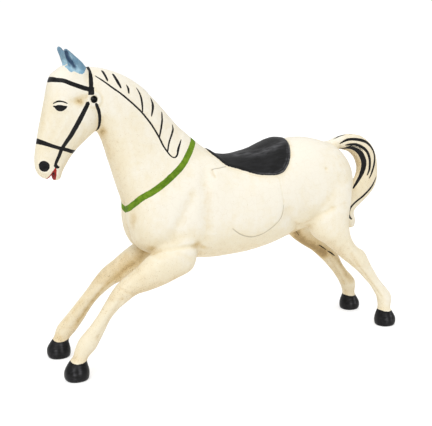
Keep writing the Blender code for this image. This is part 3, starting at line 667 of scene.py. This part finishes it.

# ---------------------------------------------------------------------------------------------
# Age and painted shade: the cream yellows low on the legs and neck, and is painted yellower as
# shade where faces turn down, back, forward or inward; brown marks are grime and painted shade.
# ---------------------------------------------------------------------------------------------
# Grime and painted shade: temple, throat, armpits, chest, groin and under the belly.
GRIME_AND_SHADE = (
    ((-51.3, -6.0, 85.0), (1.8, 3.0, 1.7), 1.05), ((-49.8, -6.0, 86.4), (2.2, 3.0, 0.9), 0.80),
    ((-46.8, -5.6, 85.5), 2.6, 0.35), ((-45.0, -4.5, 78.5), (1.8, 3.0, 4.5), 0.55),
    ((-43.7, -2.9, 75.4), (1.2, 3.0, 2.6), 1.10), ((-61.4, -1.8, 80.0), (0.9, 1.6, 9.0), 0.55),
    ((-16.2, -12.2, 38.6), (2.2, 2.5, 1.6), 0.75), ((-12.5, -11.0, 37.2), (3.0, 2.5, 1.0), 0.6),
    ((-31.0, -7.4, 38.0), (2.2, 3.0, 2.0), 0.7), ((-35.2, -5.5, 47.6), (1.8, 2.4, 3.0), 0.85),
    ((-20.5, -12.8, 49.5), (2.6, 3.0, 7.0), 0.34), ((-12.0, -12.8, 52.0), (2.0, 3.0, 10.0), 0.38),
    ((-9.4, -9.9, 61.6), (1.2, 2.5, 2.6), 0.50), ((26.0, -7.5, 39.6), (5.0, 4.0, 2.0), 0.45),
    ((-37.0, -2.0, 60.0), (2.6, 3.0, 6.0), 0.50), ((-41.6, -2.0, 69.0), (1.8, 3.0, 5.0), 0.50),
    ((-21.0, -7.0, 62.0), (6.0, 3.0, 3.0), 0.2), ((46.0, -2.0, 60.0), (2.5, 3.0, 8.0), 0.4),
    ((-55.0, -3.0, 93.0), (2.0, 3.0, 1.0), 0.35), ((-60.5, -3.0, 62.5), (3.0, 3.0, 1.6), 0.4),
    ((-62.5, -3.4, 65.8), 2.4, 0.25), ((-8.0, -12.5, 34.5), (9.0, 6.0, 2.5), 0.30),
)
# Grime and painted shade in bands down the far legs' inner sides.
RIGHT_GRIME_AND_SHADE = (
    (
        (
            (24.0, -3.0, 38.0), (28.0, 2.0, 37.0), (32.0, 5.0, 34.8), (36.5, 6.7, 31.4),
            (41.5, 7.3, 28.0), (46.5, 8.0, 25.0),
        ),
        3.6, 1.45,
    ),
    (
        (
            (46.0, 7.0, 27.6), (49.5, 7.6, 25.2), (52.5, 8.4, 22.8), (55.5, 9.0, 19.5),
            (58.5, 9.6, 15.0), (61.5, 10.0, 12.0),
        ),
        1.6, 1.10,
    ),
    (((44.0, 8.5, 21.5), (49.0, 9.0, 16.5), (54.0, 9.6, 12.0), (57.0, 10.0, 8.0)), 0.8, 0.55),
    (((-26.0, 6.0, 35.0), (-30.0, 5.4, 31.4), (-33.9, 6.1, 28.9), (-37.3, 6.9, 25.8)), 2.2, 1.0),
    (
        (
            (-37.3, 6.9, 25.8), (-40.5, 7.3, 23.2), (-43.0, 7.8, 20.6), (-45.6, 8.4, 17.2),
            (-48.3, 8.8, 13.6), (-51.0, 8.7, 10.6),
        ),
        1.1, 0.95,
    ),
    (
        (
            (-37.0, 8.6, 32.0), (-42.7, 9.6, 26.4), (-46.4, 9.2, 21.4), (-50.6, 9.4, 16.3),
            (-54.1, 9.5, 12.6),
        ),
        0.5, 0.5,
    ),
)

# Yellower with age low on the legs and on the neck; painted shade, yellower, under the belly,
# on the breast, behind the thighs and on the legs' inner sides.
x, y, z = points.T
facing_down, facing_back = rise(-normals[:, 2], -0.1, 0.9), rise(normals[:, 0], 0.1, 1.0)
age_and_shade = 0.16 + 0.34 * rise(-z, -41.0, -26.0) + 0.22 * rise(-x, 16.0, 40.0) * rise(-z, -100.0, -70.0)
# Painted shade: faces turned down, back or forward are made yellower.
age_and_shade += 0.40 * facing_down + 0.22 * facing_back + 0.26 * rise(-normals[:, 0], 0.2, 1.0)
age_and_shade += 0.20 * rise(-z, -50.0, -38.0) * (z > 24) + 0.42 * rise(x, 46.0, 50.0) * rise(z, 40.0, 50.0)
age_and_shade += 0.16 * rise(x, 22.0, 42.0) * rise(z, 40.0, 50.0)
# Painted shade: the legs' inner sides are made yellower and browner.
turned_in = rise(-normals[:, 1] * np.sign(y), -0.1, 0.6) * rise(-z, -40.0, -34.0)
age_and_shade += 0.22 * turned_in
paint_field("age_and_shade", np.clip(age_and_shade, 0.0, 1.3))

grime_and_shade = np.zeros(len(points))
for spot, spread, weight in GRIME_AND_SHADE:
    grime_and_shade = np.maximum(grime_and_shade, weight * near_spot(folded, spot, spread))
for band, spread, weight in RIGHT_GRIME_AND_SHADE:
    side, room = along_line(points, normals, drawn(band, 0.0), 6.0)
    aside, past_end = (side / spread) ** 2, (np.minimum(room, 0) / spread) ** 2
    grime_and_shade = np.maximum(grime_and_shade, weight * np.exp(-aside - past_end))
# Painted shade on the legs' inner sides.
grime_and_shade = np.maximum(grime_and_shade, 0.3 * turned_in)
paint_field("grime_and_shade", grime_and_shade)

# How deep each point lies in a hollow; the material paints shade and grime there.
deep = ((relaxed(points, edges, 24) - points) * normals).sum(1)
paint_field("hollow", np.clip(deep * 6.0, -1.0, 1.0))

# ---------------------------------------------------------------------------------------------
# The paint itself: oil enamel brushed over a white ground. The shared effects are a ragged brush
# edge, brush streaks and fine crazing, each a node group.
# ---------------------------------------------------------------------------------------------


def put(tree, kind, inputs=None, **settings):
    """A node with its settings; each input is a value or another node's output."""
    made = tree.nodes.new("ShaderNode" + kind)
    for name, value in settings.items():
        setattr(made, name, value)
    for socket, value in (inputs or {}).items():
        if isinstance(value, bpy.types.NodeSocket):
            tree.links.new(value, made.inputs[socket])
        else:
            made.inputs[socket].default_value = value
    return made


def calc(tree, operation, *values):
    return put(tree, "Math", dict(enumerate(values)), operation=operation).outputs[0]


def blend(tree, factor, under, over):
    inputs = {0: factor, 6: under, 7: over}
    return put(tree, "Mix", inputs, data_type="RGBA").outputs[2]


def ease(tree, value, low, high):
    inputs = {0: value, 1: low, 2: high}
    return put(tree, "MapRange", inputs, interpolation_type="SMOOTHSTEP").outputs[0]


def grain_noise(tree, place, scale, detail=3.0, rough=0.55):
    inputs = {"Vector": place, "Scale": scale, "Detail": detail, "Roughness": rough}
    return put(tree, "TexNoise", inputs).outputs[0]


def new_group(name, inputs, outputs):
    group = bpy.data.node_groups.new(name, "ShaderNodeTree")
    for socket, kind in inputs:
        group.interface.new_socket(socket, in_out="INPUT", socket_type="NodeSocket" + kind)
    for socket, kind in outputs:
        group.interface.new_socket(socket, in_out="OUTPUT", socket_type="NodeSocket" + kind)
    return group, group.nodes.new("NodeGroupInput"), group.nodes.new("NodeGroupOutput")


def grouped(tree, group, inputs):
    return put(tree, "Group", inputs, node_tree=group).outputs


brush_edge, given, result = new_group(
    "brush edge",
    (("Place", "Vector"), ("Inside", "Float"), ("Ragged", "Float")),
    (("Mask", "Float"),),
)
broad, fine = [
    calc(brush_edge, "SUBTRACT", grain_noise(brush_edge, given.outputs["Place"], *grain), 0.5)
    for grain in ((130.0, 2.0), (620.0, 1.0))
]
ragged = calc(brush_edge, "MULTIPLY_ADD", fine, 0.5, broad)
ragged = calc(brush_edge, "MULTIPLY", ragged, given.outputs["Ragged"])
ragged = calc(brush_edge, "ADD", ragged, given.outputs["Inside"])
brush_edge.links.new(ease(brush_edge, ragged, -0.03, 0.05), result.inputs["Mask"])

brush_streaks, given, result = new_group(
    "brush streaks", (("Place", "Vector"), ("Along", "Vector")), (("Streak", "Float"),)
)
stretch = {0: given.outputs["Place"], 1: given.outputs["Along"]}
drawn_out = put(brush_streaks, "VectorMath", stretch, operation="MULTIPLY")
streak = grain_noise(brush_streaks, drawn_out.outputs[0], 1.0, 4.0, 0.6)
brush_streaks.links.new(ease(brush_streaks, streak, 0.3, 0.7), result.inputs["Streak"])

crazing, given, result = new_group(
    "crazing", (("Place", "Vector"), ("Scale", "Float")), (("Crack", "Float"),)
)
wander = {"Vector": given.outputs["Place"], "Scale": 60.0, "Detail": 2.0}
bent = put(crazing, "TexNoise", wander)
bent = put(crazing, "VectorMath", {0: bent.outputs["Color"], 3: 0.012}, operation="SCALE")
bent = put(crazing, "VectorMath", {0: given.outputs["Place"], 1: bent.outputs[0]}, operation="ADD")
flakes = {"Vector": bent.outputs[0], "Scale": given.outputs["Scale"]}
cells = put(crazing, "TexVoronoi", flakes, feature="DISTANCE_TO_EDGE")
off_crack = ease(crazing, cells.outputs["Distance"], 0.0, 0.05)
crazing.links.new(calc(crazing, "SUBTRACT", 1.0, off_crack), result.inputs["Crack"])

coat = bpy.data.materials.new("painted_wood")
coat.use_nodes = True
tree = coat.node_tree
shader = tree.nodes["Principled BSDF"]
place = put(tree, "TexCoord").outputs["Object"]


def field(name, output="Fac"):
    return put(tree, "Attribute", attribute_name=name).outputs[output]


# Cream: new over the barrel, yellowed below by age and painted shade, brown in the hollows and
# grimy spots as grime and painted shade, with specks of old varnish.
FRESH_CREAM = (0.805, 0.762, 0.655, 1)
DULL_AND_SHADED_CREAM = (0.765, 0.690, 0.520, 1)
OLD_AND_SHADED_CREAM = (0.690, 0.565, 0.355, 1)
OCHRE_WASH = (0.610, 0.465, 0.235, 1)
OCHRE_GRIME_AND_SHADE = (0.450, 0.300, 0.115, 1)
DARK_GRIME = (0.220, 0.140, 0.060, 1)
SCORE_GREY = (0.200, 0.170, 0.130, 1)

cloud = grain_noise(tree, place, 9.0, 4.0, 0.6)
mottle = grain_noise(tree, place, 42.0, 4.0, 0.65)
speck = grain_noise(tree, place, 260.0, 2.0, 0.5)
streak = grouped(tree, brush_streaks, {"Place": place, "Along": (70.0, 70.0, 9.0)})["Streak"]
crack = grouped(tree, crazing, {"Place": place, "Scale": 46.0})["Crack"]

age_and_shade = calc(tree, "MULTIPLY_ADD", calc(tree, "SUBTRACT", cloud, 0.5), 0.55, field("age_and_shade"))
age_and_shade = calc(tree, "MULTIPLY_ADD", calc(tree, "SUBTRACT", mottle, 0.5), 0.50, age_and_shade)
age_and_shade = calc(tree, "MULTIPLY_ADD", field("hollow"), 0.25, age_and_shade)
age_and_shade = calc(tree, "MULTIPLY_ADD", calc(tree, "SUBTRACT", streak, 0.5), 0.07, age_and_shade)
cream = blend(tree, ease(tree, age_and_shade, 0.0, 0.55), FRESH_CREAM, DULL_AND_SHADED_CREAM)
cream = blend(tree, ease(tree, age_and_shade, 0.45, 1.25), cream, OLD_AND_SHADED_CREAM)

# Grime and painted shade, deeper in the hollows.
grime_and_shade = calc(tree, "MULTIPLY_ADD", field("hollow"), 0.16, field("grime_and_shade"))
grime_and_shade = calc(tree, "MULTIPLY_ADD", calc(tree, "SUBTRACT", mottle, 0.5), 0.8, grime_and_shade)
grime_and_shade_mask = ease(tree, grime_and_shade, 0.05, 0.90)
cream = blend(tree, calc(tree, "MULTIPLY", grime_and_shade_mask, 0.60), cream, OCHRE_WASH)
cream = blend(tree, calc(tree, "MULTIPLY", ease(tree, grime_and_shade, 0.65, 1.35), 0.70), cream, OCHRE_GRIME_AND_SHADE)
speckled = calc(tree, "MULTIPLY_ADD", speck, 1.1, grime_and_shade)
dark_mask = calc(tree, "MULTIPLY", ease(tree, speckled, 1.45, 1.95), 0.55)
cream = blend(tree, dark_mask, cream, DARK_GRIME)
flecked = calc(tree, "MULTIPLY_ADD", age_and_shade, 0.16, grain_noise(tree, place, 330.0, 3.0, 0.7))
fleck = ease(tree, flecked, 0.73, 0.80)
cream = blend(tree, calc(tree, "MULTIPLY", fleck, 0.6), cream, DARK_GRIME)
dots = ease(tree, calc(tree, "MULTIPLY_ADD", age_and_shade, 0.09, speck), 0.70, 0.78)
cream = blend(tree, calc(tree, "MULTIPLY", dots, 0.45), cream, OCHRE_GRIME_AND_SHADE)
cream = blend(tree, calc(tree, "MULTIPLY", crack, 0.07), cream, OCHRE_GRIME_AND_SHADE)

# Colours: black on the saddle, hooves and lines, green on the collar, blue ears, a red mouth.
BLACK_THIN = (0.016, 0.016, 0.018, 1)
BLACK_THICK = (0.004, 0.004, 0.004, 1)
BLACK_HIGHLIGHT = (0.130, 0.130, 0.138, 1)
GREEN_DEEP = (0.070, 0.150, 0.004, 1)
GREEN_PALE = (0.150, 0.260, 0.014, 1)
BLUE_SHADE = (0.016, 0.040, 0.095, 1)
BLUE_RIM = (0.080, 0.150, 0.220, 1)
BLUE_MIDDLE = (0.180, 0.350, 0.485, 1)
BLUE_PALE = (0.370, 0.560, 0.665, 1)
RED_BRIGHT = (0.330, 0.022, 0.016, 1)
RED_SHADED = (0.090, 0.004, 0.003, 1)


def paint_mask(inside, ragged):
    """Where paint lies, with the ragged edge that a brush leaves."""
    return grouped(tree, brush_edge, {"Place": place, "Inside": inside, "Ragged": ragged})["Mask"]


def line_mask(name, ragged):
    """Where a drawn line's paint lies."""
    line = put(tree, "SeparateXYZ", {0: field(name, "Vector")})
    inside = calc(tree, "SUBTRACT", line.outputs[1], calc(tree, "ABSOLUTE", line.outputs[0]))
    inside = calc(tree, "ADD", inside, 0.09)
    inside = calc(tree, "MINIMUM", inside, calc(tree, "ADD", line.outputs[2], 0.3))
    return paint_mask(inside, ragged)


ink_mask = calc(tree, "MAXIMUM", line_mask("ink", 0.16), line_mask("ink_over", 0.16))
score_mask = line_mask("scores", 0.10)
black_mask = paint_mask(field("black"), 0.30)
green_mask = paint_mask(field("collar"), 0.22)
blue_mask = paint_mask(field("blue"), 0.5)
red_mask = paint_mask(field("red"), 0.25)

sweep = grouped(tree, brush_streaks, {"Place": place, "Along": (22.0, 120.0, 120.0)})["Streak"]
black = blend(tree, calc(tree, "MULTIPLY", sweep, mottle), BLACK_THICK, BLACK_THIN)
# Painted highlight: the black is lightened to grey where the highlight field says.
highlight_mask = calc(tree, "MULTIPLY", field("painted_highlight"), calc(tree, "MULTIPLY_ADD", sweep, 0.8, 0.2))
black = blend(tree, highlight_mask, black, BLACK_HIGHLIGHT)
green = blend(tree, ease(tree, mottle, 0.35, 0.65), GREEN_DEEP, GREEN_PALE)
washed = calc(tree, "MULTIPLY_ADD", streak, 0.3, mottle)
blue = blend(tree, ease(tree, washed, 0.4, 0.8), BLUE_MIDDLE, BLUE_PALE)
# Painted shade: darker blue in the ear cups.
blue = blend(tree, calc(tree, "MULTIPLY", field("ear_cup_shade"), 0.95), blue, BLUE_SHADE)
worn_rim = ease(tree, calc(tree, "MULTIPLY", field("hollow"), -1.0), 0.45, 1.0)
blue = blend(tree, calc(tree, "MULTIPLY", worn_rim, 0.60), blue, BLUE_RIM)

colour = blend(tree, calc(tree, "MULTIPLY", score_mask, 0.44), cream, SCORE_GREY)
colour = blend(tree, line_mask("splits", 0.12), colour, BLACK_THICK)
# Painted shade: the red darkens deeper in the mouth.
red = blend(tree, ease(tree, field("hollow"), -0.40, 0.15), RED_BRIGHT, RED_SHADED)
colour = blend(tree, red_mask, colour, red)
colour = blend(tree, green_mask, colour, green)
colour = blend(tree, blue_mask, colour, blue)
colour = blend(tree, ink_mask, colour, black)
colour = blend(tree, black_mask, colour, black)
tree.links.new(colour, shader.inputs["Base Color"])

# Gloss and relief: the black is glossier, brush marks and paint edges stand up a little.
SATIN = 0.36
SHEEN = 0.16
BRUSH_RELIEF, RELIEF_STRENGTH = 0.0007, 0.55

darks = calc(tree, "MAXIMUM", black_mask, ink_mask)
gloss = calc(tree, "MULTIPLY_ADD", mottle, 0.20, SATIN)
gloss = calc(tree, "MULTIPLY_ADD", grime_and_shade_mask, 0.25, gloss)
gloss = calc(tree, "MULTIPLY_ADD", darks, -0.08, gloss)
gloss = calc(tree, "MULTIPLY_ADD", calc(tree, "MAXIMUM", green_mask, red_mask), 0.25, gloss)
tree.links.new(gloss, shader.inputs["Roughness"])
shader.inputs["Specular IOR Level"].default_value = SHEEN
film = calc(tree, "MAXIMUM", darks, calc(tree, "MAXIMUM", green_mask, blue_mask))
height = calc(tree, "MULTIPLY", film, 0.5)
height = calc(tree, "MULTIPLY_ADD", streak, 0.16, height)
height = calc(tree, "MULTIPLY_ADD", calc(tree, "MULTIPLY", sweep, black_mask), 0.5, height)
height = calc(tree, "MULTIPLY_ADD", crack, -0.12, height)
height = calc(tree, "MULTIPLY_ADD", mottle, 0.6, height)
stands_up = {"Height": height, "Strength": RELIEF_STRENGTH, "Distance": BRUSH_RELIEF}
relief = put(tree, "Bump", stands_up)
tree.links.new(relief.outputs[0], shader.inputs["Normal"])
carved.data.materials.append(coat)

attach(carved, "root")
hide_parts("horse")

# ---------------------------------------------------------------------------------------------
# The room: a pale lit floor that runs off into white, a bright dome and one broad soft light.
# ---------------------------------------------------------------------------------------------
FLOOR_SIZE = 60
FLOOR_GREY = (0.55, 0.55, 0.55, 1)
WHITE = (1, 1, 1, 1)
FLOOR_GLOW = 0.55
DOME_LOW, DOME_RISE, DOME_SEEN = 0.35, 0.75, 1.05
SUN_AT = (-2.0, -2.5, 4.0)
SUN_TURN = (math.radians(40), 0, math.radians(-36))
SUN_STRENGTH, SUN_WIDTH = 1.5, math.radians(45)

bpy.ops.object.select_all(action="DESELECT")
bpy.ops.mesh.primitive_plane_add(size=FLOOR_SIZE, location=(0, 0, 0))
floor = bpy.context.object
floor.name = "floor"
pale = bpy.data.materials.new("pale_floor")
pale.use_nodes = True
paper = pale.node_tree.nodes["Principled BSDF"]
paper.inputs["Base Color"].default_value = FLOOR_GREY
paper.inputs["Roughness"].default_value = 0.95
paper.inputs["Emission Color"].default_value = WHITE
paper.inputs["Emission Strength"].default_value = FLOOR_GLOW
floor.data.materials.append(pale)

world = bpy.data.worlds.new("dome")
world.use_nodes = True
dome = world.node_tree.nodes["Background"]
dome.inputs["Color"].default_value = WHITE
sky = world.node_tree
upward = put(sky, "SeparateXYZ", {0: put(sky, "TexCoord").outputs["Generated"]}).outputs["Z"]
lit = calc(sky, "MULTIPLY_ADD", calc(sky, "MAXIMUM", upward, 0.0), DOME_RISE, DOME_LOW)
seen = put(sky, "LightPath").outputs["Is Camera Ray"]
white = calc(sky, "MULTIPLY", seen, DOME_SEEN)
sky.links.new(calc(sky, "MAXIMUM", lit, white), dome.inputs["Strength"])
bpy.context.scene.world = world

bpy.ops.object.light_add(type="SUN", location=SUN_AT, rotation=SUN_TURN)
sun = bpy.context.object
sun.name = "soft_light"
sun.data.energy = SUN_STRENGTH
sun.data.angle = SUN_WIDTH
bpy.context.scene.view_settings.view_transform = "Standard"
